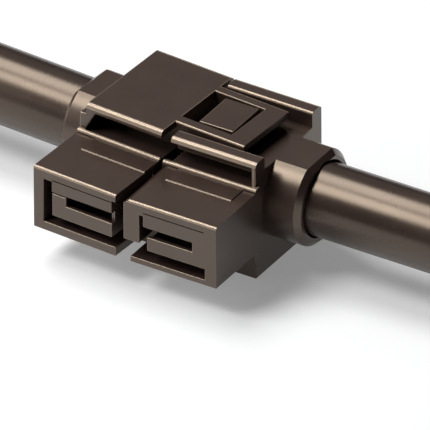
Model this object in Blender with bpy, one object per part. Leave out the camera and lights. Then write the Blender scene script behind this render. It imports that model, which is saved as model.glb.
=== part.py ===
"""Inline fuse holder: a left and a right moulded half, joined end to end, each on its own lead.

+X runs along the right half's lead, the blade sockets face -Y and +Z is up, in metres.
Each half is built with its joint plane at x = 0, its sockets' front face at y = 0 and its foot at z = 0.
An empty then turns the left half by SPLAY about the joint's back corner, and another one moves everything
so that the box round the halves is centred over the origin.
"""

import math

import bmesh
import bpy
from mathutils import Matrix, Vector

MM = 0.001

# The rest pose: the left half is turned a little on the catch, so the joint is wider in front
SPLAY = math.radians(3.6)

# Clearances
JOINT_GAP = 0.15 * MM  # from the joint plane to either half
ROOT_GAP = 0.3 * MM  # from the left half to the roots of its latch loop
CABLE_GAP = 0.2 * MM  # round a lead in its bore
CRIMP_GAP = 0.18 * MM  # between the strands and their barrel
ROOM = 0.35 * MM  # between a terminal and the walls of its chamber
STRIP_GAP = 0.3 * MM  # between a lead's insulation and its bare strands
GROUND_GAP = 0.05 * MM
LOOP_GAP = 0.15 * MM  # beside the latch loop, past what the splay needs
PAST = 1.0 * MM  # how far a cutter runs past the face that it opens
STAGGER = 0.05 * MM  # keeps the faces of two cutters out of one plane

# Leads and their collars
LEAD_RADIUS = 3.3 * MM
COLLAR_WALL = 0.85 * MM
COLLAR_RISE = 2.0 * MM  # from the foot up to the collars
LEFT_COLLAR = 2.93 * MM
RIGHT_COLLAR = 3.6 * MM
COLLAR_SINK = 1.0 * MM
RIM = 0.5 * MM  # the sloping end of a collar
LEAD_STRAIGHT = 24.0 * MM
LEAD_FALL = 36.0 * MM
LEAD_LAID = 40.0 * MM
STRAIGHT_STEPS = 3
FALL_STEPS = 8
LAID_STEPS = 5
WIRE_END = 4.0 * MM
BORE_RADIUS = LEAD_RADIUS + CABLE_GAP
COLLAR_RADIUS = BORE_RADIUS + COLLAR_WALL
LEAD_Z = COLLAR_RISE + COLLAR_RADIUS

# The catch in the right half's channel and the latch loop round it
FRONT_RAIL = 1.5 * MM
BACK_RAIL = 1.5 * MM
BACK_RAIL_ROOM = 0.37 * MM
CATCH_START = 1.0 * MM
CATCH_LENGTH = 3.35 * MM
CATCH_WIDTH = 4.27 * MM
CATCH_DROP = 0.05 * MM
CATCH_RAMP = 0.45 * MM
CATCH_LIP = 0.2 * MM  # the upright face below the ramp
LOOP_FRONT_LEG = 1.0 * MM
LOOP_BACK_LEG = 0.9 * MM
LOOP_END_BAR = 1.95 * MM
LOOP_THICK = 1.05 * MM
LOOP_NOSE = 0.45 * MM
LOOP_EDGE = 0.14 * MM
CATCH_END = CATCH_START + CATCH_LENGTH
CATCH_TURN = CATCH_END * math.sin(SPLAY) + LOOP_GAP  # behind the catch, for the loop's splay
LEVER = CATCH_WIDTH + CATCH_TURN + LOOP_BACK_LEG + BACK_RAIL_ROOM + BACK_RAIL
LOOP_WINDOW = CATCH_END + LEVER * math.sin(SPLAY) + LOOP_GAP
LOOP_LENGTH = LOOP_WINDOW + LOOP_END_BAR
LOOP_TURN = LOOP_LENGTH * math.sin(SPLAY) + LOOP_GAP

# Depths, back from the sockets' front faces
SOCKET_DEPTH = 6.8 * MM
BEAD = 0.45 * MM  # the raised lip along the back of a socket's top
BEAD_RISE = 0.35 * MM
BEAD_EDGE = 0.28 * MM
BEAD_CREST = 0.32 * MM  # from the bead's front to the hollow behind it
STEP_DEPTH = 2.5 * MM  # the slightly raised back part of a socket's top
STEP_RISE = 0.09 * MM
FACE_WALL = 0.45 * MM  # in front of a terminal's chamber
CONTACT_DEPTH = 3.0 * MM  # from the face to a terminal
RECESS_DEPTH = 5.6 * MM  # of the openings round a blade slot
LOOP_FRONT = SOCKET_DEPTH + FRONT_RAIL + LOOP_TURN
CATCH_FRONT = LOOP_FRONT + LOOP_FRONT_LEG + LOOP_GAP
CATCH_BACK = CATCH_FRONT + CATCH_WIDTH
LOOP_BACK = CATCH_BACK + CATCH_TURN + LOOP_BACK_LEG
CHANNEL_BACK = LOOP_BACK + BACK_RAIL_ROOM
BLOCK_BACK = CHANNEL_BACK + BACK_RAIL
LEAD_Y = (SOCKET_DEPTH + BLOCK_BACK) / 2

# Heights
FOOT = 2.75 * MM  # from the foot up to the sockets' underside
SOCKET_DROP = 2.85 * MM  # from the plates down to the sockets' top
BORE_ROOF = 0.35 * MM
CHANNEL_DEPTH = 1.5 * MM
PLATE = 1.0 * MM
RAIL_DROP = 0.25 * MM  # how much lower the front rail is than the back rail
POCKET_ROOF = 0.7 * MM
CHANNEL_FLOOR = LEAD_Z + BORE_RADIUS + BORE_ROOF
HEIGHT = CHANNEL_FLOOR + CHANNEL_DEPTH
SOCKET_TOP = HEIGHT - SOCKET_DROP

# Lengths along X, out from the joint plane
LEFT_LENGTH = 8.62 * MM
LEFT_PLATE_SETBACK = 0.67 * MM
RIGHT_LENGTH = 8.55 * MM
RIGHT_SOCKET_OUT = 0.25 * MM  # the right socket passes the block's end
RIGHT_SOCKET_IN = 0.45 * MM  # and the joint plane, where the splay leaves room for it

# Rounded edges
PLATE_EDGE = 0.42 * MM
RAIL_EDGE = 0.2 * MM
SOCKET_EDGE = 0.22 * MM
ROUND_STEPS = 6

# The hollows between the sockets and the plates
LEFT_POCKET_DEPTH = 2.4 * MM
LEFT_POCKET_WALL = 0.5 * MM  # at its outer end, at the bottom
LEFT_POCKET_SLANT = 1.1 * MM
RIGHT_POCKET_DEPTH = 1.1 * MM  # in front of the channel
RIGHT_POCKET_FOOT = 2.3 * MM  # and below the channel's floor
RIGHT_POCKET_LID = 0.45 * MM  # between that foot and the channel's floor
RIGHT_POCKET_WALL = 0.35 * MM

# The left socket's front face, from its outer end
LEFT_WALL = 1.0 * MM
LEFT_SLOT = 0.88 * MM
LEFT_SLOT_DROP = 0.98 * MM  # from the socket's top to the slot
LEFT_FLOOR = 0.87 * MM
LEFT_RECESS = 0.88 * MM
LEFT_ROOF = 0.75 * MM
LEFT_CHEEK = 1.44 * MM  # beside the blade slot
LEFT_GROOVE = 0.18 * MM  # the fine line across that cheek
LEFT_GROOVE_DEPTH = 0.6 * MM
LEFT_OPEN_SIDE = 0.4 * MM  # from the joint face to the inner block

# The right socket's front face, from the joint
RIGHT_WALL = 1.57 * MM
RIGHT_WALL_FOOT = 2.1 * MM  # from the socket's underside to that wall's lower end
RIGHT_CORNER = (0.55 * MM, 0.42 * MM)  # the slope at the top of that wall, along X and Z
RIGHT_SLOT = 0.37 * MM
RIGHT_SLOT_DROP = 1.2 * MM
RIGHT_FLOOR = 0.55 * MM
RIGHT_FLOOR_SETBACK = 0.65 * MM
RIGHT_RECESS = 1.05 * MM
RIGHT_LEDGE_SETBACK = 0.4 * MM
RIGHT_CHEEK = 1.25 * MM
RIGHT_OUTER_WALL = 1.18 * MM

# The slots for the fuse's blades
LEFT_BLADE_LOW = 3.1 * MM  # up from the sockets' underside
LEFT_BLADE_HEIGHT = 1.03 * MM
RIGHT_BLADE_LOW = 2.95 * MM
RIGHT_BLADE_HEIGHT = 0.95 * MM
FACE_LINE = 0.1 * MM
FACE_LINE_DROP = 0.8 * MM
FACE_LINE_DEPTH = 0.2 * MM

# Terminals
SHEET = 0.4 * MM
RECEPTACLE_HEIGHT = 1.75 * MM
RECEPTACLE_SIDE_ROOM = 0.17 * MM  # from the blade slot's outer end to the receptacle
RECEPTACLE_SHIELD = 0.65 * MM  # and from its end towards the joint, behind a wall
ROLLED = 1.25 * MM
NECK_INSET = 0.15 * MM
BARREL_RADIUS = 2.35 * MM
BARREL_START = 1.0 * MM
BARREL_LENGTH = 3.3 * MM
STRANDS_OUT = 0.3 * MM
SIDES = 36
COLLAR_SIDES = 64
SHARP = math.radians(40)


def clear_scene():
    for obj in list(bpy.data.objects):
        bpy.data.objects.remove(obj, do_unlink=True)


def material(name, colour, metallic, roughness):
    mat = bpy.data.materials.new(name)
    mat.use_nodes = True
    shader = mat.node_tree.nodes["Principled BSDF"]
    shader.inputs["Base Color"].default_value = (*colour, 1.0)
    shader.inputs["Metallic"].default_value = metallic
    shader.inputs["Roughness"].default_value = roughness
    return mat


def add_mesh(name, bm):
    bmesh.ops.recalc_face_normals(bm, faces=bm.faces)
    mesh = bpy.data.meshes.new(name)
    bm.to_mesh(mesh)
    bm.free()
    obj = bpy.data.objects.new(name, mesh)
    bpy.context.scene.collection.objects.link(obj)
    return obj


def empty(name, parent, matrix):
    obj = bpy.data.objects.new(name, None)
    bpy.context.scene.collection.objects.link(obj)
    obj.parent = parent
    obj.matrix_local = matrix
    return obj


def bridge(bm, low, high):
    count = len(low)
    for i in range(count):
        j = (i + 1) % count
        bm.faces.new((low[i], low[j], high[j], high[i]))


def prism(name, outline, axis, start, end):
    """A closed outline pushed along an axis. The outline's pairs are the two other axes, in order."""
    bm = bmesh.new()
    rings = []
    for place in (start, end):
        ring = []
        for pair in outline:
            co = list(pair)
            co.insert(axis, place)
            ring.append(bm.verts.new(co))
        bm.faces.new(ring)
        rings.append(ring)
    bridge(bm, rings[0], rings[1])
    return add_mesh(name, bm)


def oblong(u, v):
    return [(u[0], v[0]), (u[1], v[0]), (u[1], v[1]), (u[0], v[1])]


def box(name, x, y, z):
    return prism(name, oblong(y, z), 0, x[0], x[1])


def rounded(corners):
    """An outline from (u, v, radius) corners, each rounded by its radius."""
    outline = []
    count = len(corners)
    for i, (u, v, radius) in enumerate(corners):
        if radius == 0:
            outline.append((u, v))
            continue
        here = Vector((u, v))
        before = (Vector(corners[i - 1][:2]) - here).normalized()
        after = (Vector(corners[(i + 1) % count][:2]) - here).normalized()
        centre = here + (before + after) * radius
        for step in range(ROUND_STEPS + 1):
            angle = math.pi / 2 * step / ROUND_STEPS
            point = centre - (after * math.cos(angle) + before * math.sin(angle)) * radius
            outline.append((point.x, point.y))
    return outline


def rod(name, radius, x, y, z, sides):
    """A round bar along X."""
    outline = []
    for i in range(sides):
        angle = 2 * math.pi * (i + 0.5) / sides
        outline.append((y + radius * math.cos(angle), z + radius * math.sin(angle)))
    return prism(name, outline, 0, x[0], x[1])


def boolean(obj, other, operation):
    mod = obj.modifiers.new(other.name, "BOOLEAN")
    mod.operation = operation
    mod.solver = "EXACT"
    mod.object = other
    other.hide_render = True
    other.display_type = "WIRE"


def cut(obj, other):
    boolean(obj, other, "DIFFERENCE")


def join(obj, other):
    boolean(obj, other, "UNION")


def side_range(side, near, far):
    """A range along X at two distances from the joint plane, low value first."""
    return (near, far) if side > 0 else (-far, -near)


def block_corners(side):
    """The body of a half, seen from its end, from its foot round its back to its top's front edge."""
    corners = [(SOCKET_DEPTH, 0, 0), (BLOCK_BACK, 0, 0), (BLOCK_BACK, HEIGHT, PLATE_EDGE)]
    if side < 0:
        return corners + [(SOCKET_DEPTH, HEIGHT, PLATE_EDGE)]
    channel_front = SOCKET_DEPTH + FRONT_RAIL
    rail_top = HEIGHT - RAIL_DROP
    return corners + [
        (CHANNEL_BACK, HEIGHT, RAIL_EDGE),
        (CHANNEL_BACK, CHANNEL_FLOOR, 0),
        (channel_front, CHANNEL_FLOOR, 0),
        (channel_front, rail_top, RAIL_EDGE),
        (SOCKET_DEPTH, rail_top, PLATE_EDGE),
    ]


def socket_corners(back):
    """A socket, seen from its end, from the top of its bead round its front to its underside."""
    bead_front = SOCKET_DEPTH - BEAD
    return [
        (back, SOCKET_TOP + BEAD_RISE, 0),
        (bead_front, SOCKET_TOP + BEAD_RISE, BEAD_EDGE),
        (bead_front, SOCKET_TOP, 0),
        (0, SOCKET_TOP, SOCKET_EDGE),
        (0, FOOT, 0),
        (back, FOOT, 0),
    ]


def step(name, x):
    """The raised back part of a socket's top, with a slope in front."""
    front = SOCKET_DEPTH - STEP_DEPTH
    back = SOCKET_DEPTH - BEAD / 2
    low = SOCKET_TOP - STAGGER
    high = SOCKET_TOP + STEP_RISE
    outline = [(front - STAGGER, low), (back, low), (back, high), (front + STEP_RISE, high)]
    return prism(name, outline, 0, x[0], x[1])


def left_pocket():
    """The hollow behind the left socket's bead, open at the joint, with a slanting outer end."""
    near = PAST - JOINT_GAP
    far = LEFT_POCKET_WALL - LEFT_LENGTH
    bottom = SOCKET_TOP + BEAD_RISE / 2
    top = HEIGHT - POCKET_ROOF
    outline = [(near, bottom), (far, bottom), (far + LEFT_POCKET_SLANT, top), (near, top)]
    front = SOCKET_DEPTH - BEAD + BEAD_CREST
    return prism("left_pocket", outline, 1, front, SOCKET_DEPTH + LEFT_POCKET_DEPTH)


def right_pocket():
    """The hollow between the right socket and its front rail, which runs on under the channel's floor."""
    front = SOCKET_DEPTH - BEAD + BEAD_CREST
    bottom = SOCKET_TOP + BEAD_RISE / 2
    lid = CHANNEL_FLOOR - RIGHT_POCKET_LID
    top = HEIGHT - POCKET_ROOF
    outline = [
        (front, bottom),
        (SOCKET_DEPTH + RIGHT_POCKET_FOOT, bottom),
        (SOCKET_DEPTH + RIGHT_POCKET_FOOT, lid),
        (SOCKET_DEPTH + RIGHT_POCKET_DEPTH, lid),
        (SOCKET_DEPTH + RIGHT_POCKET_DEPTH, top),
        (front, top),
    ]
    return prism("right_pocket", outline, 0, JOINT_GAP - PAST, RIGHT_LENGTH - RIGHT_POCKET_WALL)


def collar(name, side, length, reach):
    """The round neck that a lead leaves by, cut off on top in line with the channel's floor."""
    top = min(CHANNEL_FLOOR - LEAD_Z, COLLAR_RADIUS * 0.98)
    first = math.asin(top / COLLAR_RADIUS)
    sweep = math.pi + 2 * first
    bm = bmesh.new()
    rings = []
    for place, inset in ((length - COLLAR_SINK, 0.0), (length + reach - RIM, 0.0), (length + reach, RIM)):
        ring = []
        for i in range(COLLAR_SIDES + 1):
            angle = first - sweep * i / COLLAR_SIDES
            radius = COLLAR_RADIUS - inset
            z = min(radius * math.sin(angle), top - inset / 2)
            ring.append(bm.verts.new((side * place, LEAD_Y + radius * math.cos(angle), LEAD_Z + z)))
        rings.append(ring)
    bm.faces.new(rings[0])
    bm.faces.new(rings[-1])
    bridge(bm, rings[0], rings[1])
    bridge(bm, rings[1], rings[2])
    return add_mesh(name, bm)


def blade_z(side):
    if side < 0:
        return (FOOT + LEFT_BLADE_LOW, FOOT + LEFT_BLADE_LOW + LEFT_BLADE_HEIGHT)
    return (FOOT + RIGHT_BLADE_LOW, FOOT + RIGHT_BLADE_LOW + RIGHT_BLADE_HEIGHT)


def receptacle_low(side):
    return blade_z(side)[0] - SHEET


def hollow(obj, side, tag, end):
    """The bore for the lead and the chambers for its terminal, open at the joint."""
    bore_start = BARREL_START + BARREL_LENGTH + ROOM
    bore_x = side_range(side, bore_start, end + PAST)
    cut(obj, rod(tag + "_bore", BORE_RADIUS, bore_x, LEAD_Y, LEAD_Z, COLLAR_SIDES))
    room = BARREL_RADIUS + ROOM
    barrel_x = side_range(side, JOINT_GAP - PAST, bore_start + STAGGER)
    barrel_z = (LEAD_Z - room, LEAD_Z + room)
    cut(obj, box(tag + "_barrel_room", barrel_x, (LEAD_Y - room, LEAD_Y + room), barrel_z))
    low = receptacle_low(side) - ROOM
    high = receptacle_low(side) + RECEPTACLE_HEIGHT + ROOM
    contact_x = (receptacle_x(side)[0] - ROOM, receptacle_x(side)[1] + ROOM)
    far = max(abs(x) for x in contact_x)
    cut(obj, box(tag + "_contact_room", contact_x, (FACE_WALL, SOCKET_DEPTH + 2 * ROOM), (low, high)))
    neck_x = side_range(side, JOINT_GAP - PAST - STAGGER, far - STAGGER)
    neck_y = (SOCKET_DEPTH + STAGGER, LEAD_Y)
    cut(obj, box(tag + "_neck_room", neck_x, neck_y, (low + STAGGER, high - STAGGER)))


def cut_front(obj, tag, openings):
    """Openings in a socket's front face, as (name, outline in X and Z, depth)."""
    for name, outline, depth in openings:
        cut(obj, prism(tag + "_" + name, outline, 1, -PAST, depth))


def blade_x(side):
    """The range of a blade slot, with the opening beside it."""
    if side < 0:
        return (-LEFT_LENGTH + LEFT_WALL + LEFT_SLOT + LEFT_CHEEK, -JOINT_GAP - LEFT_OPEN_SIDE)
    start = -RIGHT_SOCKET_IN + RIGHT_WALL + RIGHT_SLOT
    return (start, RIGHT_LENGTH + RIGHT_SOCKET_OUT - RIGHT_OUTER_WALL - RIGHT_CHEEK)


def receptacle_x(side):
    low, high = blade_x(side)
    if side < 0:
        return (low + RECEPTACLE_SIDE_ROOM, high - RECEPTACLE_SHIELD)
    return (low + RECEPTACLE_SHIELD, high - RECEPTACLE_SIDE_ROOM)


def face_line(start, end):
    high = SOCKET_TOP - FACE_LINE_DROP
    return oblong((start + STAGGER, end - STAGGER), (high - FACE_LINE, high))


def left_housing():
    side = -1
    outline = block_corners(side) + socket_corners(SOCKET_DEPTH)
    obj = prism("left_housing", rounded(outline), 0, -LEFT_LENGTH, -JOINT_GAP)
    shoulder_x = side_range(side, LEFT_LENGTH - LEFT_PLATE_SETBACK, LEFT_LENGTH + PAST)
    shoulder_y = (SOCKET_DEPTH - PAST, BLOCK_BACK + PAST)
    cut(obj, box("left_shoulder", shoulder_x, shoulder_y, (HEIGHT - PLATE, HEIGHT + PAST)))
    cut(obj, left_pocket())
    inner = -LEFT_LENGTH + LEFT_WALL + LEFT_SLOT
    join(obj, step("left_step", (inner, -JOINT_GAP - STAGGER)))
    join(obj, collar("left_collar", side, LEFT_LENGTH, LEFT_COLLAR))
    hollow(obj, side, "left", LEFT_LENGTH + LEFT_COLLAR)
    low = FOOT + LEFT_FLOOR
    high = low + LEFT_RECESS
    roof = SOCKET_TOP - LEFT_ROOF
    blade_start, blade_end = blade_x(side)
    blade_low, blade_high = blade_z(side)
    around = [
        (inner - LEFT_SLOT, low),
        (PAST, low),
        (PAST, roof),
        (blade_end, roof),
        (blade_end, high),
        (inner, high),
        (inner, SOCKET_TOP - LEFT_SLOT_DROP),
        (inner - LEFT_SLOT, SOCKET_TOP - LEFT_SLOT_DROP),
    ]
    groove_z = (blade_high - LEFT_GROOVE, blade_high - STAGGER)
    groove = oblong((inner - STAGGER, blade_start + STAGGER), groove_z)
    blade = oblong((blade_start, PAST + STAGGER), (blade_low, blade_high))
    openings = [
        ("around", around, RECESS_DEPTH),
        ("blade", blade, FACE_WALL + STAGGER),
        ("groove", groove, LEFT_GROOVE_DEPTH),
        ("line", face_line(inner, blade_end), FACE_LINE_DEPTH),
    ]
    cut_front(obj, "left", openings)
    return obj


def right_housing():
    side = 1
    obj = prism("right_housing", rounded(block_corners(side)), 0, JOINT_GAP, RIGHT_LENGTH)
    start = -RIGHT_SOCKET_IN
    end = RIGHT_LENGTH + RIGHT_SOCKET_OUT
    outline = socket_corners(SOCKET_DEPTH + ROOM)
    join(obj, prism("right_socket", rounded(outline), 0, start, end))
    cut(obj, right_pocket())
    recess_end = end - RIGHT_OUTER_WALL
    corner = [
        (start - PAST, SOCKET_TOP - RIGHT_CORNER[1]),
        (start, SOCKET_TOP - RIGHT_CORNER[1]),
        (start + RIGHT_CORNER[0], SOCKET_TOP),
        (start + RIGHT_CORNER[0], SOCKET_TOP + PAST),
        (start - PAST, SOCKET_TOP + PAST),
    ]
    cut(obj, prism("right_corner", corner, 1, -PAST, SOCKET_DEPTH - BEAD - STAGGER))
    join(obj, step("right_step", (start + RIGHT_WALL, recess_end)))
    join(obj, collar("right_collar", side, RIGHT_LENGTH, RIGHT_COLLAR))
    hollow(obj, side, "right", RIGHT_LENGTH + RIGHT_COLLAR)
    join(obj, catch("right_catch"))
    slot = start + RIGHT_WALL
    inner = slot + RIGHT_SLOT
    ledge = inner + RIGHT_LEDGE_SETBACK
    low = FOOT + RIGHT_FLOOR
    high = low + RIGHT_RECESS
    wall_low = FOOT + RIGHT_WALL_FOOT
    blade_low, lip_low = blade_z(side)
    slot_top = SOCKET_TOP - RIGHT_SLOT_DROP
    around = [
        (start - PAST, FOOT - PAST),
        (start + RIGHT_FLOOR_SETBACK, FOOT - PAST),
        (start + RIGHT_FLOOR_SETBACK, low),
        (recess_end, low),
        (recess_end, high),
        (ledge, high),
        (ledge, lip_low),
        (inner, lip_low),
        (inner, slot_top),
        (slot, slot_top),
        (slot, wall_low),
        (start - PAST, wall_low),
    ]
    blade = oblong((ledge - STAGGER, blade_x(side)[1]), (blade_low, lip_low - STAGGER))
    openings = [
        ("around", around, RECESS_DEPTH),
        ("blade", blade, FACE_WALL + STAGGER),
        ("line", face_line(inner, recess_end), FACE_LINE_DEPTH),
    ]
    cut_front(obj, "right", openings)
    return obj


def catch(name):
    """The block that the latch loop drops over, with its ramp towards the left half."""
    top = HEIGHT - CATCH_DROP
    corners = [
        (CATCH_START - CATCH_RAMP, CHANNEL_FLOOR - STAGGER),
        (CATCH_END, CHANNEL_FLOOR - STAGGER),
        (CATCH_END, top),
        (CATCH_START, top),
        (CATCH_START - CATCH_RAMP, CHANNEL_FLOOR + CATCH_LIP),
    ]
    return prism(name, corners, 1, CATCH_FRONT, CATCH_BACK)


def latch_loop():
    """The frame on the left half that the catch holds, open towards its root."""
    bottom = HEIGHT - LOOP_THICK
    corners = [(LOOP_FRONT, bottom, 0), (LOOP_BACK, bottom, 0)]
    corners += [(LOOP_BACK, HEIGHT, LOOP_EDGE), (LOOP_FRONT, HEIGHT, LOOP_EDGE)]
    root = -JOINT_GAP + ROOT_GAP
    obj = prism("latch_loop", rounded(corners), 0, root, LOOP_LENGTH)
    window_y = (LOOP_FRONT + LOOP_FRONT_LEG, LOOP_BACK - LOOP_BACK_LEG)
    cut(obj, box("loop_window", (root - PAST, LOOP_WINDOW), window_y, (bottom - PAST, HEIGHT + PAST)))
    nose = [
        (LOOP_LENGTH - LOOP_NOSE - STAGGER, bottom - STAGGER),
        (LOOP_LENGTH + PAST, bottom - STAGGER),
        (LOOP_LENGTH + PAST, bottom + LOOP_NOSE + PAST),
    ]
    cut(obj, prism("loop_nose", nose, 1, LOOP_FRONT - PAST, LOOP_BACK + PAST))
    return obj


def hinge_line():
    """The middle of the line, level with the loop's root, on which its two legs bend."""
    return Matrix.Translation((0, (LOOP_FRONT + LOOP_BACK) / 2, HEIGHT - LOOP_THICK / 2))


def terminal(name, side):
    """A flag terminal from one strip: a receptacle for the blade, a neck, and a barrel round the strands."""
    start, end = receptacle_x(side)
    low = receptacle_low(side)
    top = low + RECEPTACLE_HEIGHT
    outline = [
        (start, low),
        (end, low),
        (end, top),
        (end - ROLLED, top),
        (end - ROLLED, top - SHEET),
        (end - SHEET, top - SHEET),
        (end - SHEET, low + SHEET),
        (start + SHEET, low + SHEET),
        (start + SHEET, top - SHEET),
        (start + ROLLED, top - SHEET),
        (start + ROLLED, top),
        (start, top),
    ]
    back = SOCKET_DEPTH + ROOM
    obj = prism(name, outline, 1, CONTACT_DEPTH, back)
    barrel_x = side_range(side, BARREL_START, BARREL_START + BARREL_LENGTH)
    neck_x = (max(start, barrel_x[0]) + NECK_INSET, min(end, barrel_x[1]) - NECK_INSET)
    neck_y = (back - ROLLED, LEAD_Y)  # the cut inside the barrel ends it in the barrel's wall
    join(obj, box(name + "_neck", neck_x, neck_y, (low, low + SHEET)))
    join(obj, rod(name + "_barrel", BARREL_RADIUS, barrel_x, LEAD_Y, LEAD_Z, SIDES))
    inside_x = (barrel_x[0] - PAST, barrel_x[1] + PAST)
    cut(obj, rod(name + "_inside", BARREL_RADIUS - SHEET, inside_x, LEAD_Y, LEAD_Z, SIDES))
    return obj


def strand_radius():
    return BARREL_RADIUS - SHEET - CRIMP_GAP


def lead_start():
    """Where the insulation begins, behind the barrel."""
    return BARREL_START + BARREL_LENGTH + 2 * ROOM


def conductor(name, side):
    x = side_range(side, BARREL_START - STRANDS_OUT, lead_start() - STRIP_GAP)
    return rod(name, strand_radius(), x, LEAD_Y, LEAD_Z, SIDES)


def lead_route(side):
    """A lead's middle line: level out of the collar, down to the ground, then along it."""
    laid = LEAD_RADIUS + GROUND_GAP
    start = lead_start()
    route = []
    for i in range(STRAIGHT_STEPS):
        route.append((start + LEAD_STRAIGHT * i / STRAIGHT_STEPS, LEAD_Z))
    for i in range(FALL_STEPS):
        share = i / FALL_STEPS
        drop = (LEAD_Z - laid) * (1 - math.cos(math.pi * share)) / 2
        route.append((start + LEAD_STRAIGHT + LEAD_FALL * share, LEAD_Z - drop))
    for i in range(LAID_STEPS + 1):
        route.append((start + LEAD_STRAIGHT + LEAD_FALL + LEAD_LAID * i / LAID_STEPS, laid))
    return [Vector((side * x, LEAD_Y, z)) for x, z in route]


def cable(name, side):
    curve = bpy.data.curves.new(name, "CURVE")
    curve.dimensions = "3D"
    curve.bevel_depth = LEAD_RADIUS
    curve.bevel_resolution = 4
    curve.use_fill_caps = True
    spline = curve.splines.new("POLY")
    route = lead_route(side)
    spline.points.add(len(route) - 1)
    for point, co in zip(spline.points, route):
        point.co = (*co, 1.0)
    obj = bpy.data.objects.new(name, curve)
    bpy.context.scene.collection.objects.link(obj)
    return obj


def wire_end(name, side):
    """The bare strands at a lead's cut end."""
    last = lead_route(side)[-1]
    start = abs(last.x) + STRIP_GAP
    return rod(name, strand_radius(), side_range(side, start, start + WIRE_END), last.y, last.z, SIDES)


def left_frame():
    """From the left half's own frame to the right half's."""
    pivot = Matrix.Translation((0, BLOCK_BACK, 0))
    return pivot @ Matrix.Rotation(-SPLAY, 4, "Z") @ pivot.inverted()


def put_under(parent, objects, shift):
    """Hangs pieces and their cutters on an empty, their meshes moved by a shift first."""
    for obj in objects:
        for part in [obj] + [mod.object for mod in obj.modifiers]:
            part.data.transform(shift)
            part.parent = parent


def stand(frame, halves):
    """Moves the frame so that the box round the halves is centred over the origin, with its foot on it."""
    bpy.context.view_layer.update()
    graph = bpy.context.evaluated_depsgraph_get()
    points = []
    for obj in halves:
        evaluated = obj.evaluated_get(graph)
        mesh = evaluated.to_mesh()
        points += [evaluated.matrix_world @ vert.co for vert in mesh.vertices]
        evaluated.to_mesh_clear()
    low = Vector(min(point[k] for point in points) for k in range(3))
    high = Vector(max(point[k] for point in points) for k in range(3))
    frame.location = (-(low.x + high.x) / 2, -(low.y + high.y) / 2, -low.z)


def finish(objects, mat):
    for obj in objects:
        obj.data.materials.append(mat)
        if obj.type == "MESH":
            obj.data.shade_smooth()
            obj.data.set_sharp_from_angle(angle=SHARP)


def main():
    clear_scene()
    still = Matrix.Identity(4)
    frame = empty("holder_frame", None, still)
    left_half = empty("left_half", frame, left_frame())
    right_half = empty("right_half", frame, still)
    latch_hinge = empty("latch_hinge", left_half, hinge_line())

    housings = [left_housing(), right_housing()]
    loop = latch_loop()
    terminals = [terminal("left_terminal", -1), terminal("right_terminal", 1)]
    conductors = [conductor("left_conductor", -1), conductor("right_conductor", 1)]
    wire_ends = [wire_end("left_wire_end", -1), wire_end("right_wire_end", 1)]
    leads = [cable("left_cable", -1), cable("right_cable", 1)]

    finish(housings + [loop], material("moulded plastic", (0.03, 0.026, 0.024), 0.0, 0.45))
    finish(leads, material("lead insulation", (0.028, 0.024, 0.022), 0.0, 0.5))
    finish(terminals, material("tinned brass", (0.68, 0.66, 0.6), 1.0, 0.32))
    finish(conductors + wire_ends, material("copper strands", (0.72, 0.38, 0.24), 1.0, 0.35))

    for left, right in (housings, terminals, conductors, wire_ends, leads):
        put_under(left_half, [left], still)
        put_under(right_half, [right], still)
    put_under(latch_hinge, [loop], hinge_line().inverted())
    stand(frame, housings)


main()
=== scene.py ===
# %% [markdown]
# # An inline fuse holder
#
# Two small halves of dark plastic are clipped together side by side. Each has a blade socket in
# front, and a thick lead at its outer end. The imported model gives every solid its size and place.
# This lesson loads it, aims a camera, lays the leads, rounds the mouldings' edges, and gives each
# surface its finish.

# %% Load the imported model
import math

import bmesh
import bpy
from mathutils import Matrix, Vector


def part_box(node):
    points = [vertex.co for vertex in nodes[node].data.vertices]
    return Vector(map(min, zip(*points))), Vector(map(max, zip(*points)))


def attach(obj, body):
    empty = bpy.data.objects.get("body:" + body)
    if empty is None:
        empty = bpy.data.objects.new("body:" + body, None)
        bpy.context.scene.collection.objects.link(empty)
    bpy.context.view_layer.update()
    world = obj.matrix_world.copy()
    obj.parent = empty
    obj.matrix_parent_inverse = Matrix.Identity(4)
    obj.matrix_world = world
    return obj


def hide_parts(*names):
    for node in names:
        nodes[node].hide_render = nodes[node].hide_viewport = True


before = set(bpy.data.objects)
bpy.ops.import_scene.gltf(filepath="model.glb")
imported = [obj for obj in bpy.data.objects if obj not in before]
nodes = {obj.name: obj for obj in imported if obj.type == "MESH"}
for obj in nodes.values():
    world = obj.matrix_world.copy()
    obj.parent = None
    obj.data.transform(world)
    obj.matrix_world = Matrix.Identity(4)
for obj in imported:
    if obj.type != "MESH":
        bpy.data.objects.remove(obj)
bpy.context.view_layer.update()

MM = 0.001

print("nodes:", ", ".join(sorted(nodes)))

# %% [markdown]
# ## The camera
#
# The picture was taken from far away, because lines that run along the holder stay parallel in it.
# A very long lens would come close to that. An orthographic camera gives it exactly, and its
# azimuth, elevation and roll, with the width that it sees, are enough to aim it.

# %% Aim the camera
AZIMUTH = math.radians(31.888)
ELEVATION = math.radians(32.374)
ROLL = math.radians(-0.44)
VIEW_WIDTH = 36.44 * MM
VIEW_CENTRE = Vector((-0.088, -0.017, 6.0)) * MM
CENTRE_SHIFT = (2.732 * MM, -3.014 * MM)
CAMERA_AWAY = 0.5
CLIP_NEAR = 0.01
CLIP_FAR = 20


def show(name, data):
    """A new object with this data, at the origin of the scene."""
    piece = bpy.data.objects.new(name, data)
    bpy.context.scene.collection.objects.link(piece)
    return piece


def camera_axes():
    """The camera's right, up and forward directions."""
    right = Vector((math.cos(AZIMUTH), math.sin(AZIMUTH), 0))
    level = math.cos(ELEVATION)
    forward = Vector((-math.sin(AZIMUTH) * level, math.cos(AZIMUTH) * level, -math.sin(ELEVATION)))
    up = right.cross(forward)
    rolled_right = right * math.cos(ROLL) + up * math.sin(ROLL)
    rolled_up = up * math.cos(ROLL) - right * math.sin(ROLL)
    return rolled_right, rolled_up, forward


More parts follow.
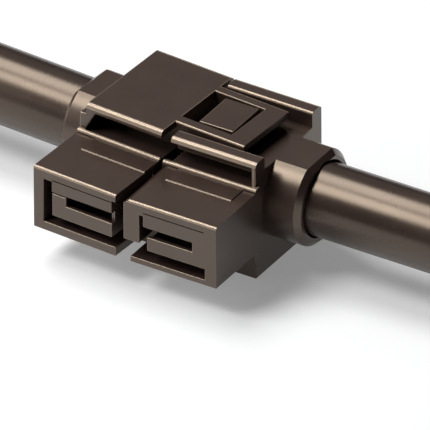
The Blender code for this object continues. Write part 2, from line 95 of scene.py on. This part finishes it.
def make_camera():
    right, up, forward = camera_axes()
    data = bpy.data.cameras.new("camera")
    data.type = "ORTHO"
    data.ortho_scale = VIEW_WIDTH
    data.clip_start = CLIP_NEAR
    data.clip_end = CLIP_FAR
    camera = show("camera", data)
    centre = VIEW_CENTRE + right * CENTRE_SHIFT[0] + up * CENTRE_SHIFT[1]
    turn = Matrix((right, up, -forward)).transposed().to_4x4()
    camera.matrix_world = Matrix.Translation(centre - forward * CAMERA_AWAY) @ turn
    bpy.context.scene.camera = camera


make_camera()
print("camera sees", round(VIEW_WIDTH / MM, 2), "mm across")

# %% [markdown]
# ## Two halves, two directions
#
# The left half is clipped on with a small turn about the joint's back corner, as a loose catch lets
# it. Whatever belongs to a half is easiest to place on that half's own axes, with its lead along x.
# One matrix for each half then takes it to the frame that both share.

# %% Place a half
LEAD_START = 5.0 * MM
SPLAY = math.radians(3.6)

cable_low, cable_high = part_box("right_cable")
joint_x = cable_low[0] - LEAD_START
lead_y = (cable_low[1] + cable_high[1]) / 2
block_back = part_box("right_housing")[1][1]


def place_of(side):
    """From a half's own axes, with the joint at zero and its lead along x, to the shared frame."""
    if side > 0:
        return Matrix.Translation((joint_x, lead_y, 0))
    corner = Matrix.Translation((joint_x, block_back, 0))
    turn = Matrix.Rotation(-SPLAY, 4, "Z")
    return corner @ turn @ Matrix.Translation((0, lead_y - block_back, 0))


print("joint at x", round(joint_x / MM, 2), "mm, leads at y", round(lead_y / MM, 2), "mm")

# %% [markdown]
# ## The leads
#
# Each lead is one piece of round insulation. It leaves its collar level, because a lead this thick
# is stiff, then sinks to the table under its own weight and lies along it. A cylinder could be bent
# to that, but a curve with a bevel is the simplest round bar that follows such a line, and its
# points are easy to work out.

# %% Lay the two leads
LEAD_RADIUS = 3.3 * MM
LEAD_HEIGHT = 6.35 * MM
LEAD_STRAIGHT = 24.0 * MM
LEAD_FALL = 36.0 * MM
LEAD_LAID = 40.0 * MM
LEAD_ROUNDNESS = 14
STRAIGHT_STEPS = 3
FALL_STEPS = 8
LAID_STEPS = 5
GROUND_GAP = 0.05 * MM

laid_height = LEAD_RADIUS + GROUND_GAP
fall_start = LEAD_START + LEAD_STRAIGHT
laid_start = fall_start + LEAD_FALL
lead_end = laid_start + LEAD_LAID


def lead_route(side):
    """The points of a lead's middle line: level, then a soft fall, then flat on the table."""
    points = []
    for i in range(STRAIGHT_STEPS):
        points.append((LEAD_START + LEAD_STRAIGHT * i / STRAIGHT_STEPS, LEAD_HEIGHT))
    for i in range(FALL_STEPS):
        share = i / FALL_STEPS
        drop = (LEAD_HEIGHT - laid_height) * (1 - math.cos(math.pi * share)) / 2
        points.append((fall_start + LEAD_FALL * share, LEAD_HEIGHT - drop))
    for i in range(LAID_STEPS + 1):
        points.append((laid_start + LEAD_LAID * i / LAID_STEPS, laid_height))
    return [place_of(side) @ Vector((side * x, 0, z)) for x, z in points]


def make_lead(name, side):
    curve = bpy.data.curves.new(name, "CURVE")
    curve.dimensions = "3D"
    curve.bevel_depth = LEAD_RADIUS
    curve.bevel_resolution = LEAD_ROUNDNESS
    curve.use_fill_caps = True
    route = lead_route(side)
    spline = curve.splines.new("POLY")
    spline.points.add(len(route) - 1)
    for point, co in zip(spline.points, route):
        point.co = (*co, 1)
    length = sum((b - a).length for a, b in zip(route, route[1:]))
    print(name, "is", round(length / MM, 1), "mm long")
    return show(name, curve), length


left_lead, left_length = make_lead("left_lead", -1)
right_lead, right_length = make_lead("right_lead", 1)

# %% [markdown]
# ## Writing a node tree in a script
#
# The strands and the finishes are all node trees. Written out one setting and one link at a time, a
# tree is long and hard to read. A few helpers make each node one line: they set a node's options,
# then link or set its inputs, depending on whether they are given a socket or a plain value.

# %% Helpers for node trees
SOCKET_KINDS = {"Vector": "NodeSocketVector", "Geometry": "NodeSocketGeometry"}


def link(tree, source, target):
    tree.links.new(source, target)


def add_node(tree, kind, inputs=None, **settings):
    """A new node with its options, and its inputs linked or set by their names or numbers."""
    node = tree.nodes.new(kind)
    for key, value in settings.items():
        setattr(node, key, value)
    for key, value in (inputs or {}).items():
        if isinstance(value, bpy.types.NodeSocket):
            link(tree, value, node.inputs[key])
        else:
            node.inputs[key].default_value = value
    return node


def calc(tree, operation, *values):
    """The result of a Math node."""
    return add_node(tree, "ShaderNodeMath", dict(enumerate(values)), operation=operation).outputs[0]


def blend(tree, kind, factor, first, second):
    """The result of a Mix node."""
    inputs = {"Factor": factor, "A": first, "B": second}
    return add_node(tree, "ShaderNodeMix", inputs, data_type=kind).outputs["Result"]


def new_tree(name, kind, inputs, outputs):
    """A node group with named inputs and outputs, and the sockets of both its ends."""
    tree = bpy.data.node_groups.new(name, kind)
    for label, value in inputs.items():
        socket_kind = SOCKET_KINDS.get(label, "NodeSocketFloat")
        socket = tree.interface.new_socket(label, in_out="INPUT", socket_type=socket_kind)
        if value is not None:
            socket.default_value = value
    for label in outputs:
        socket_kind = SOCKET_KINDS.get(label, "NodeSocketFloat")
        tree.interface.new_socket(label, in_out="OUTPUT", socket_type=socket_kind)
    return tree, add_node(tree, "NodeGroupInput").outputs, add_node(tree, "NodeGroupOutput").inputs


print("helpers:", ", ".join(helper.__name__ for helper in (link, add_node, calc, blend, new_tree)))

# %% [markdown]
# ## The copper strands
#
# Where a lead is stripped, its copper shows as a bundle of fine strands with a slow twist.
# Modelling each by hand would be long, and they are the same strand many times over. So Geometry
# Nodes make them, in three steps. The first gives each strand its seat: one in the middle, then
# rings of six, twelve and eighteen round it, the way that round strands pack.

# %% Seats for the strands
STRAND_RADIUS = 0.25 * MM
STRAND_RINGS = 3
RING_SEATS = 6


def strand_seats(tree, radius):
    """A point for each strand, in the plane across x."""
    middle = add_node(tree, "GeometryNodePoints")
    seats = add_node(tree, "GeometryNodeJoinGeometry", {0: middle.outputs[0]})
    for ring in range(1, STRAND_RINGS + 1):
        across = calc(tree, "MULTIPLY", radius, 2.0 * ring)
        circle = add_node(tree, "GeometryNodeMeshCircle",
                          {"Vertices": RING_SEATS * ring, "Radius": across})
        points = add_node(tree, "GeometryNodeMeshToPoints", {"Mesh": circle.outputs[0]})
        link(tree, points.outputs[0], seats.inputs[0])
    facing_x = {"Geometry": seats.outputs[0], "Rotation": (0, math.pi / 2, 0)}
    return add_node(tree, "GeometryNodeTransform", facing_x).outputs[0]


print("strands in a bundle:", 1 + sum(RING_SEATS * ring for ring in range(1, STRAND_RINGS + 1)))

# %% [markdown]
# ## Lay and twist
#
# The second step puts a line of a few points on each seat, and turns every point about the bundle's
# axis by an angle that grows along it. That gives the twist, which is called the lay. A cutter
# never leaves the strands quite level, so each far end is drawn back by a small random length.

# %% Lay and twist the strands
LAY_LENGTH = 26.0 * MM
TWIST = 2 * math.pi / LAY_LENGTH
STRAND_STEPS = 9
UNEVEN_SEED = 7


def straight_strands(tree, seats, length):
    """A line of points along x on each seat, as real curves."""
    far_end = add_node(tree, "ShaderNodeCombineXYZ", {"X": length})
    line = add_node(tree, "GeometryNodeCurvePrimitiveLine", {"End": far_end.outputs[0]})
    steps = add_node(tree, "GeometryNodeResampleCurve",
                     {"Curve": line.outputs[0], "Count": STRAND_STEPS})
    copies = add_node(tree, "GeometryNodeInstanceOnPoints",
                      {"Points": seats, "Instance": steps.outputs[0]})
    return add_node(tree, "GeometryNodeRealizeInstances", {0: copies.outputs[0]}).outputs[0]


def twisted_strands(tree, strands, length, twist, uneven):
    """The strands turned about x as they go, each a little short of the full length by chance."""
    place = add_node(tree, "GeometryNodeInputPosition").outputs[0]
    along = add_node(tree, "ShaderNodeSeparateXYZ", {0: place}).outputs["X"]
    angle = calc(tree, "MULTIPLY", along, twist)
    turned = add_node(tree, "ShaderNodeVectorRotate", {"Vector": place, "Angle": angle},
                      rotation_type="X_AXIS")
    point_number = add_node(tree, "GeometryNodeInputIndex").outputs[0]
    strand_number = calc(tree, "FLOOR", calc(tree, "DIVIDE", point_number, STRAND_STEPS))
    chance = add_node(tree, "FunctionNodeRandomValue",
                      {"Seed": UNEVEN_SEED, "ID": strand_number}, data_type="FLOAT")
    short = calc(tree, "MULTIPLY", chance.outputs[1], uneven)
    share = calc(tree, "DIVIDE", along, length)
    back = calc(tree, "MULTIPLY", calc(tree, "MULTIPLY", short, share), -1)
    shift = add_node(tree, "ShaderNodeCombineXYZ", {"X": back})
    moved = {"Geometry": strands, "Position": turned.outputs[0], "Offset": shift.outputs[0]}
    return add_node(tree, "GeometryNodeSetPosition", moved).outputs[0]


print("one full turn in", round(LAY_LENGTH / MM), "mm")

# %% [markdown]
# ## From lines to copper
#
# The last step sweeps a small circle along every line, with caps, and sets the material. The tree
# is built once. Each bundle is then a modifier with its own length, turned into a plain mesh and
# put in its place on its half.

# %% Build the tree and make a bundle
STRAND_SIDES = 12
SHARP_RIM = math.radians(40)


def strand_tree(mat):
    inputs = {"Length": 4 * MM, "Strand Radius": STRAND_RADIUS, "Twist": TWIST, "Uneven": 0.1 * MM}
    tree, given, out = new_tree("strand bundle", "GeometryNodeTree", inputs, ("Geometry",))
    seats = strand_seats(tree, given["Strand Radius"])
    strands = straight_strands(tree, seats, given["Length"])
    strands = twisted_strands(tree, strands, given["Length"], given["Twist"], given["Uneven"])
    profile = add_node(tree, "GeometryNodeCurvePrimitiveCircle",
                       {"Resolution": STRAND_SIDES, "Radius": given["Strand Radius"]})
    swept = add_node(tree, "GeometryNodeCurveToMesh",
                     {"Curve": strands, "Profile Curve": profile.outputs[0], "Fill Caps": True})
    real = add_node(tree, "GeometryNodeRealizeInstances", {0: swept.outputs[0]})
    finished = add_node(tree, "GeometryNodeSetMaterial",
                        {"Geometry": real.outputs[0], "Material": mat})
    link(tree, finished.outputs[0], out[0])
    return tree


def make_bundle(name, tree, side, start, length, height, uneven):
    """A bundle along a half's own x, as a plain mesh in the shared frame."""
    bundle = show(name, bpy.data.meshes.new(name))
    mod = bundle.modifiers.new("strands", "NODES")
    mod.node_group = tree
    values = {"Length": length, "Twist": TWIST, "Uneven": uneven}
    for item in tree.interface.items_tree:
        if item.name in values:
            mod[item.identifier] = values[item.name]
    bpy.context.view_layer.update()
    graph = bpy.context.evaluated_depsgraph_get()
    mesh = bpy.data.meshes.new_from_object(bundle.evaluated_get(graph), depsgraph=graph)
    bundle.modifiers.clear()
    bundle.data = mesh
    half_turn = Matrix.Rotation(0 if side > 0 else math.pi, 4, "Z")
    mesh.transform(place_of(side) @ Matrix.Translation((side * start, 0, height)) @ half_turn)
    mesh.shade_smooth()
    mesh.set_sharp_from_angle(angle=SHARP_RIM)
    print(name, "has", len(mesh.polygons), "faces")
    return bundle


print("a strand is", round(2 * STRAND_RADIUS / MM, 2), "mm thick")

# %% [markdown]
# ## Effects that the finishes share
#
# Moulded plastic is never perfectly even. Its skin has a very fine grain from the tool's surface,
# and its gloss wanders a little. The same is true of drawn insulation and of bare metal, at other
# scales. Both effects could be built into each material, but as node groups they are made once, and
# used with different numbers each time.

# %% Node groups for grain and wander
COARSE_SHARE = 0.18


def grain_group():
    """A fine grain with a coarser one mixed in: a height between 0 and 1."""
    inputs = {"Vector": None, "Scale": 4000.0, "Coarse": 0.3}
    tree, given, out = new_tree("moulded grain", "ShaderNodeTree", inputs, ("Height",))
    place, scale = given["Vector"], given["Scale"]
    fine = add_node(tree, "ShaderNodeTexNoise", {"Vector": place, "Scale": scale, "Detail": 3})
    coarse_scale = calc(tree, "MULTIPLY", scale, COARSE_SHARE)
    coarse = add_node(tree, "ShaderNodeTexNoise",
                      {"Vector": place, "Scale": coarse_scale, "Detail": 1})
    height = blend(tree, "FLOAT", given["Coarse"], fine.outputs[0], coarse.outputs[0])
    link(tree, height, out["Height"])
    return tree


def wander_group():
    """Slow patches: a mask between 0 and 1, and a value between Low and High."""
    inputs = {"Vector": None, "Scale": 250.0, "Low": 0.3, "High": 0.5}
    tree, given, out = new_tree("slow wander", "ShaderNodeTree", inputs, ("Value", "Mask"))
    noise = add_node(tree, "ShaderNodeTexNoise", {
        "Vector": given["Vector"], "Scale": given["Scale"], "Detail": 4, "Roughness": 0.6})
    spread = add_node(tree, "ShaderNodeMapRange",
                      {"Value": noise.outputs[0], "From Min": 0.3, "From Max": 0.7})
    reach = add_node(tree, "ShaderNodeMapRange",
                     {"Value": spread.outputs[0], "To Min": given["Low"], "To Max": given["High"]})
    link(tree, reach.outputs[0], out["Value"])
    link(tree, spread.outputs[0], out["Mask"])
    return tree


GRAIN = grain_group()
WANDER = wander_group()
print("shared effects:", GRAIN.name, "and", WANDER.name)

# %% [markdown]
# ## What every finish is made of
#
# All four finishes are built the same way: slow patches that move between two tones and two gloss
# levels, and a fine grain as a bump. They read Object coordinates, so the pattern stays where it is
# on each piece, and needs no unwrapped map.

# %% The common parts of a finish
def use_group(tree, group, **values):
    return add_node(tree, "ShaderNodeGroup", values, node_tree=group).outputs


def start_material(name):
    mat = bpy.data.materials.new(name)
    mat.use_nodes = True
    return mat, mat.node_tree, mat.node_tree.nodes["Principled BSDF"]


def object_place(tree):
    return add_node(tree, "ShaderNodeTexCoord").outputs["Object"]


def two_tones(tree, mask, low, high):
    return blend(tree, "RGBA", mask, (*low, 1), (*high, 1))


def dress(tree, shader, colour, rough, height, strength, distance):
    """Gives the shader its colour, its roughness and a bump."""
    bump = add_node(tree, "ShaderNodeBump",
                    {"Strength": strength, "Distance": distance, "Height": height})
    link(tree, colour, shader.inputs["Base Color"])
    link(tree, rough, shader.inputs["Roughness"])
    link(tree, bump.outputs[0], shader.inputs["Normal"])


print("each finish reads", GRAIN.name, "for its bump and", WANDER.name, "for its gloss")

# %% [markdown]
# ## Plastic, insulation and metal
#
# The mouldings are a warm, almost black plastic with a half-matt skin and a warm sheen. Their edges
# are smoother, where hands have polished them, and paler, which is a painted highlight along them;
# an attribute on the faces says where.
# The insulation is a softer black with faint lines along it, left by the die that it was drawn
# through, so its grain is stretched along the lead. Copper and tinned brass are bare metal with a
# little tarnish.

# %% Make the finishes
WARM_SHEEN = (1, 0.84, 0.68, 1)
PLASTIC_GLOSS = 1.0
INSULATION_GLOSS = 0.8
EDGE_ROUGH = 0.2
ALONG_THE_LEAD = (0.04, 1, 1)


def plastic_finish(name, low, high, rough, edge_highlight_tone):
    mat, tree, shader = start_material(name)
    place = object_place(tree)
    patches = use_group(tree, WANDER, Vector=place, Scale=330.0, Low=rough[0], High=rough[1])
    # The faces' edge number brings in a paler tone, which is a painted highlight on the rounded
    # edges, and a lower roughness.
    edge = add_node(tree, "ShaderNodeAttribute", attribute_name="edge").outputs["Fac"]
    base = two_tones(tree, patches["Mask"], low, high)
    colour = blend(tree, "RGBA", edge, base, (*edge_highlight_tone, 1))
    smooth = blend(tree, "FLOAT", edge, patches["Value"], EDGE_ROUGH)
    grain = use_group(tree, GRAIN, Vector=place, Scale=5200.0, Coarse=0.35)
    dress(tree, shader, colour, smooth, grain["Height"], strength=0.5, distance=0.012 * MM)
    shader.inputs["Specular IOR Level"].default_value = PLASTIC_GLOSS
    shader.inputs["Specular Tint"].default_value = WARM_SHEEN
    return mat


def insulation_finish(name, low, high, rough):
    mat, tree, shader = start_material(name)
    place = object_place(tree)
    stretch = add_node(tree, "ShaderNodeMapping", {"Vector": place, "Scale": ALONG_THE_LEAD})
    patches = use_group(tree, WANDER, Vector=place, Scale=150.0, Low=rough[0], High=rough[1])
    lines = use_group(tree, GRAIN, Vector=stretch.outputs[0], Scale=2600.0, Coarse=0.5)
    colour = two_tones(tree, patches["Mask"], low, high)
    dress(tree, shader, colour, patches["Value"], lines["Height"],
          strength=0.2, distance=0.012 * MM)
    shader.inputs["Specular IOR Level"].default_value = INSULATION_GLOSS
    shader.inputs["Specular Tint"].default_value = WARM_SHEEN
    return mat


def metal_finish(name, low, high, rough, scale):
    mat, tree, shader = start_material(name)
    place = object_place(tree)
    patches = use_group(tree, WANDER, Vector=place, Scale=scale, Low=rough[0], High=rough[1])
    scratches = use_group(tree, GRAIN, Vector=place, Scale=3000.0, Coarse=0.2)
    colour = two_tones(tree, patches["Mask"], low, high)
    dress(tree, shader, colour, patches["Value"], scratches["Height"],
          strength=0.2, distance=0.01 * MM)
    shader.inputs["Metallic"].default_value = 1
    return mat


# The edge tone is a painted highlight along the rounded edges.
housing_plastic = plastic_finish(
    "housing plastic", low=(0.038, 0.024, 0.021), high=(0.045, 0.029, 0.026),
    rough=(0.27, 0.31), edge_highlight_tone=(0.30, 0.24, 0.19))
insulation = insulation_finish(
    "lead insulation", low=(0.030, 0.019, 0.016), high=(0.037, 0.024, 0.021), rough=(0.25, 0.30))
copper = metal_finish(
    "bare copper", low=(0.62, 0.30, 0.18), high=(0.86, 0.47, 0.31),
    rough=(0.24, 0.42), scale=600.0)
tinned = metal_finish(
    "tinned brass", low=(0.55, 0.53, 0.47), high=(0.75, 0.73, 0.67),
    rough=(0.25, 0.4), scale=500.0)
print("finishes:", ", ".join(mat.name for mat in (housing_plastic, insulation, copper, tinned)))

# %% [markdown]
# ## Which edges of a moulding are round
#
# A moulding's long outer edges are never knife sharp: they catch the light as a thin bright line. A
# bevel modifier would round them too, but it can't tell where a small recess leaves no room, and
# there it folds the face over. So each edge is tested: it has to be an outer one, between faces
# wide enough, with no other corner of those faces in its way. A short edge is rounded only as part
# of a long outline, and has to pass stricter tests.

# %% Choose the edges
MERGE = 0.002 * MM
OUTER_TURN = math.radians(60)
LEAST_EDGE = 0.7 * MM
LEAST_FACE = 0.25 * MM
LEAST_DEPTH = 1.0 * MM
LEAST_ROOM = 0.2 * MM
LEAST_NEAR = 0.2 * MM
STRIP = 0.13 * MM


def has_room(edge, face, room):
    """True where no corner of the face comes so near to the edge that a bevel would run into it."""
    start, end = [vert.co for vert in edge.verts]
    along = (end - start).normalized()
    reach = (end - start).length
    for vert in face.verts:
        offset = vert.co - start
        place = offset.dot(along)
        aside = (offset - along * place).length
        if MERGE < aside < room and -room < place < reach + room:
            joining = [near for end_vert in edge.verts for near in end_vert.link_edges]
            if not any(vert in near.verts for near in joining):
                return False
    return True


def takes_round(edge):
    """True for an outer edge, long or part of a long outline, between faces with room for it."""
    if len(edge.link_faces) != 2 or not edge.is_convex or edge.calc_face_angle() < OUTER_TURN:
        return False
    length = edge.calc_length()
    least_face, room = LEAST_FACE, LEAST_ROOM
    if length < LEAST_EDGE:
        least_face, room = LEAST_DEPTH, 2 * LEAST_ROOM
        if min(near.calc_length() for vert in edge.verts for near in vert.link_edges) < LEAST_NEAR:
            return False
    if min(face.calc_area() for face in edge.link_faces) / length < least_face:
        return False
    return all(has_room(edge, face, room) for face in edge.link_faces)


def is_rounding(face):
    """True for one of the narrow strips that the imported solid's own rounded edges are made of."""
    longest = max(edge.calc_length() for edge in face.edges)
    if longest < LEAST_EDGE or face.calc_area() / longest > STRIP:
        return False
    sides = [edge for edge in face.edges if edge.calc_length() > longest / 2]
    return all(edge.is_convex for edge in sides)


print("an edge is rounded from", round(LEAST_EDGE / MM, 2), "mm of length on")

# %% [markdown]
# ## Flat faces that stay flat
#
# The shading needs care once an edge is round. A flat face must look flat right up to its edge, and
# a rounded one must flow into it. Smooth shading alone would bend the light over the whole flat
# face. So each corner of each face gets its own normal: the mean of the faces round the corner that
# turn away by less than a limit, each counted by its area, so that a large flat face keeps its own.

# %% Normals for every corner
SMOOTH_ANGLE = 20
SMOOTH_LIMIT = math.cos(math.radians(SMOOTH_ANGLE))


def corner_normals(bm):
    """One normal for each corner of each face, in the mesh's own order."""
    bm.normal_update()
    areas = {face: face.calc_area() for face in bm.faces}
    normals = []
    for face in bm.faces:
        for corner in face.loops:
            total = Vector()
            for near in corner.vert.link_faces:
                if near.normal.dot(face.normal) > SMOOTH_LIMIT:
                    total += near.normal * areas[near]
            normals.append(total.normalized() if total.length > 0 else face.normal.copy())
    return normals


print("faces flow into each other up to", SMOOTH_ANGLE, "degrees apart")

# %% [markdown]
# ## The mouldings
#
# The imported solids stay plain, so each moulding is copied, its loose triangles are merged into
# whole faces, and the chosen edges get a small bevel. The rounded faces are marked with a number,
# which tells the finish how much of the paler tone, a painted highlight, they take. The latch loop
# is moulded on to the left half by its two legs. The solids keep a gap there, so that the loop can
# turn, and the copy's legs are drawn out to close it.

# %% Round the mouldings' edges
EDGE_ROUND = 0.09 * MM
ROUND_STEPS = 5
ROUND_PROFILE = 0.5
SAME_FACE = math.radians(0.5)
# How much of the painted edge highlight, and of the smoother gloss, the rounded faces take.
ROUNDED_STRIP = 1.0
ROUNDED_EDGE = 0.35
ROOT_GAP = 0.3 * MM
ROOT_DEPTH = 0.05 * MM
FACES_THAT_WAY = 0.99


def stretch_root(bm, way, reach):
    """Moves the faces that end a piece on one side out, so that it meets what carries it."""
    ends = [face for face in bm.faces if face.normal.dot(way) > FACES_THAT_WAY]
    far = max(face.calc_center_median().dot(way) for face in ends)
    ends = [face for face in ends if face.calc_center_median().dot(way) > far - ROOT_DEPTH]
    for vert in {vert for face in ends for vert in face.verts}:
        vert.co += way * reach


def refine(name, node, root_way=None):
    """A copy of a packed moulding with whole faces, rounded edges and its own corner normals."""
    bm = bmesh.new()
    bm.from_mesh(nodes[node].data)
    bmesh.ops.remove_doubles(bm, verts=bm.verts, dist=MERGE)
    bmesh.ops.dissolve_limit(bm, angle_limit=SAME_FACE, verts=bm.verts, edges=bm.edges)
    if root_way:
        stretch_root(bm, root_way, ROOT_GAP + EDGE_ROUND)
    # This number weighs a painted highlight, a paler tone, and a smoother gloss on the rounded
    # faces.
    mark = bm.faces.layers.float.new("edge")
    for face in bm.faces:
        face[mark] = ROUNDED_STRIP if is_rounding(face) else 0.0
    edges = [edge for edge in bm.edges if takes_round(edge)]
    made = bmesh.ops.bevel(bm, geom=edges, offset=EDGE_ROUND, segments=ROUND_STEPS,
                           profile=ROUND_PROFILE, affect="EDGES")
    for face in made["faces"]:
        face[mark] = ROUNDED_EDGE
    normals = corner_normals(bm)
    mesh = bpy.data.meshes.new(name)
    bm.to_mesh(mesh)
    bm.free()
    mesh.shade_smooth()
    mesh.normals_split_custom_set(normals)
    mesh.materials.append(housing_plastic)
    print(name, "has", len(edges), "rounded edges and", len(mesh.polygons), "faces")
    return show(name, mesh)


to_the_left_half = place_of(-1).to_3x3() @ Vector((-1, 0, 0))
mouldings = {
    "left_housing": refine("left_moulding", "left_housing"),
    "right_housing": refine("right_moulding", "right_housing"),
    "latch_loop": refine("loop_moulding", "latch_loop", to_the_left_half),
}

# %% [markdown]
# ## Bare ends and held ends
#
# Each lead is stripped twice. At the far end its strands stick out, cut a little uneven. Inside the
# half they reach into the terminal's barrel, where the crimp keeps them level. Both are the same
# bundle at another length, so one function makes all four.

# %% Bundles of strands
STRIP_GAP = 0.3 * MM
WIRE_END = 4.0 * MM
BARREL_START = 1.0 * MM
STRANDS_OUT = 0.3 * MM
CUT_UNEVEN = 0.15 * MM
HELD_UNEVEN = 0.0

strands = strand_tree(copper)
held_start = BARREL_START - STRANDS_OUT
bundles = {}
for side, label in ((-1, "left"), (1, "right")):
    bundles[label + "_wire_end"] = make_bundle(
        label + "_bare_strands", strands, side, start=lead_end,
        length=WIRE_END + STRIP_GAP, height=laid_height, uneven=CUT_UNEVEN)
    bundles[label + "_conductor"] = make_bundle(
        label + "_held_strands", strands, side, start=held_start,
        length=LEAD_START - held_start - STRIP_GAP, height=LEAD_HEIGHT, uneven=HELD_UNEVEN)

# %% [markdown]
# ## Who moves with what
#
# Every piece rides on a body. The latch loop is a body of its own, because it lifts. A piece that
# stands for an imported solid hides that solid, and each lead gets its insulation.

# %% Ride, replace and declare
LEFT_COLLAR_END = 11.55 * MM
RIGHT_COLLAR_END = 12.15 * MM


def declare(piece, body, node):
    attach(piece, body)
    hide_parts(node)
    print(piece.name, "rides on", body, "for", node)


for node, piece in mouldings.items():
    declare(piece, "latch" if node == "latch_loop" else "holder", node)
for node, piece in bundles.items():
    declare(piece, "holder", node)
leads = (("left", -1, left_lead, left_length, LEFT_COLLAR_END),
         ("right", 1, right_lead, right_length, RIGHT_COLLAR_END))
for label, side, lead, length, collar_end in leads:
    lead.data.materials.append(insulation)
    declare(lead, "holder", label + "_cable")
for label in ("left", "right"):
    terminal = nodes[label + "_terminal"]
    terminal.data.materials.clear()
    terminal.data.materials.append(tinned)

# %% [markdown]
# ## The table
#
# The holder lies on a plain white table that fills the picture. A flat sheet is all it takes. Its
# colour is a little cold, to balance the warm lamps, and it is lifted to white only where the
# camera, gloss or glass looks at it. That way it throws no more light on the holder than a white
# table would, and it still takes the shadow.

# %% Lay the table
TABLE_SIZE = 6
TABLE_DROP = 0.02 * MM
TABLE_TONE = (0.82, 0.87, 0.92, 1)
TABLE_ROUGH = 0.9
TABLE_LIFT = 0.24


def make_table():
    bm = bmesh.new()
    bmesh.ops.create_grid(bm, x_segments=1, y_segments=1, size=TABLE_SIZE)
    mesh = bpy.data.meshes.new("table")
    bm.to_mesh(mesh)
    bm.free()
    table = show("table", mesh)
    table.location.z = -TABLE_DROP
    mat, tree, shader = start_material("white table")
    shader.inputs["Base Color"].default_value = TABLE_TONE
    shader.inputs["Roughness"].default_value = TABLE_ROUGH
    shader.inputs["Specular IOR Level"].default_value = 0.0
    shader.inputs["Emission Color"].default_value = (1, 1, 1, 1)
    rays = add_node(tree, "ShaderNodeLightPath").outputs
    mirrored = calc(tree, "MAXIMUM", rays["Is Glossy Ray"], rays["Is Transmission Ray"])
    seen = calc(tree, "MAXIMUM", rays["Is Camera Ray"], mirrored)
    link(tree, calc(tree, "MULTIPLY", seen, TABLE_LIFT), shader.inputs["Emission Strength"])
    mesh.materials.append(mat)
    print(table.name, "is", 2 * TABLE_SIZE, "m wide")


make_table()

# %% [markdown]
# ## Light
#
# Most of the light comes from the left, out of a tall soft source that bends over the holder: it
# draws the bright lines along the front edges and the long sheen on the leads and collars. Two
# lamps, one above the other, stand for it. A wide low lamp further left brings up the front faces
# and leaves the ones that look to the right dark, and a weak one behind is what the flat tops
# mirror. The world is nearly black, so that the undersides of the leads fall off into the dark
# before they mirror the table.

# %% World and lamps
WORLD_LEVEL = 0.01
WORLD_TONE = (1, 0.98, 0.95, 1)
# name, direction from the holder, distance in metres, size in metres, watts and colour
LAMPS = (
    ("upper lamp", (-0.446, 0.16, 0.88), 0.7, (0.32, 0.32), 2.6, (1, 0.95, 0.9)),
    ("lower lamp", (-0.446, -0.38, 0.81), 0.7, (0.3, 0.26), 2.6, (1, 0.95, 0.9)),
    ("side lamp", (-0.88, -0.4, 0.25), 0.9, (0.7, 0.45), 3.5, (1, 0.96, 0.92)),
    ("back lamp", (-0.446, 0.717, 0.535), 0.9, (0.5, 0.4), 0.16, (1, 0.95, 0.92)),
)


def make_world():
    world = bpy.data.worlds.new("room")
    world.use_nodes = True
    back = world.node_tree.nodes["Background"]
    back.inputs["Color"].default_value = WORLD_TONE
    back.inputs["Strength"].default_value = WORLD_LEVEL
    bpy.context.scene.world = world


def make_lamp(name, direction, distance, size, power, colour):
    data = bpy.data.lights.new(name, "AREA")
    data.shape = "RECTANGLE"
    data.size, data.size_y = size
    data.energy = power
    data.color = colour
    lamp = show(name, data)
    way = Vector(direction).normalized()
    lamp.location = way * distance
    lamp.rotation_mode = "QUATERNION"
    lamp.rotation_quaternion = way.to_track_quat("Z", "Y")
    print(name, "gives", power, "W")


make_world()
for lamp in LAMPS:
    make_lamp(*lamp)
bpy.context.scene.view_settings.view_transform = "Standard"
